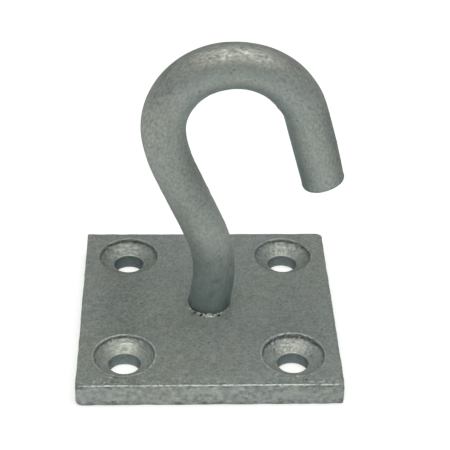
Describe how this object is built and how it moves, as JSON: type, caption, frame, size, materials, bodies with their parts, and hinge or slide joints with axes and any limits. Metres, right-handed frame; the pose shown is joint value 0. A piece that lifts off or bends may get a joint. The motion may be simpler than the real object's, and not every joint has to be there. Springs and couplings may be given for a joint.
{
  "type": "hook on plate",
  "caption": "Open hook of bent round bar on a square screw-down plate, galvanised steel, to hold a line, ring or rope on a wall, post or ceiling.",
  "frame": {"origin": "middle of the plate's back face, which lies against what the plate is screwed to", "axes": "+Z away from the fixing surface, along the hook's height; +X towards the hook's open side and its tip; the bar is bent in a plane of constant Y"},
  "size_m": [0.0506, 0.05, 0.0619],
  "materials": {
    "galvanised_plate": "hot-dip galvanised steel, matt grey with faint mottling",
    "galvanised_bar": "hot-dip galvanised steel, matt grey, finely wrinkled on the bend",
    "galvanised_bead": "weld and pooled zinc, lumpy and pitted"
  },
  "bodies": {
    "root": {"mounting_plate": "galvanised_plate", "hook": "galvanised_bar", "foot_bead": "galvanised_bead"}
  },
  "joints": []
}
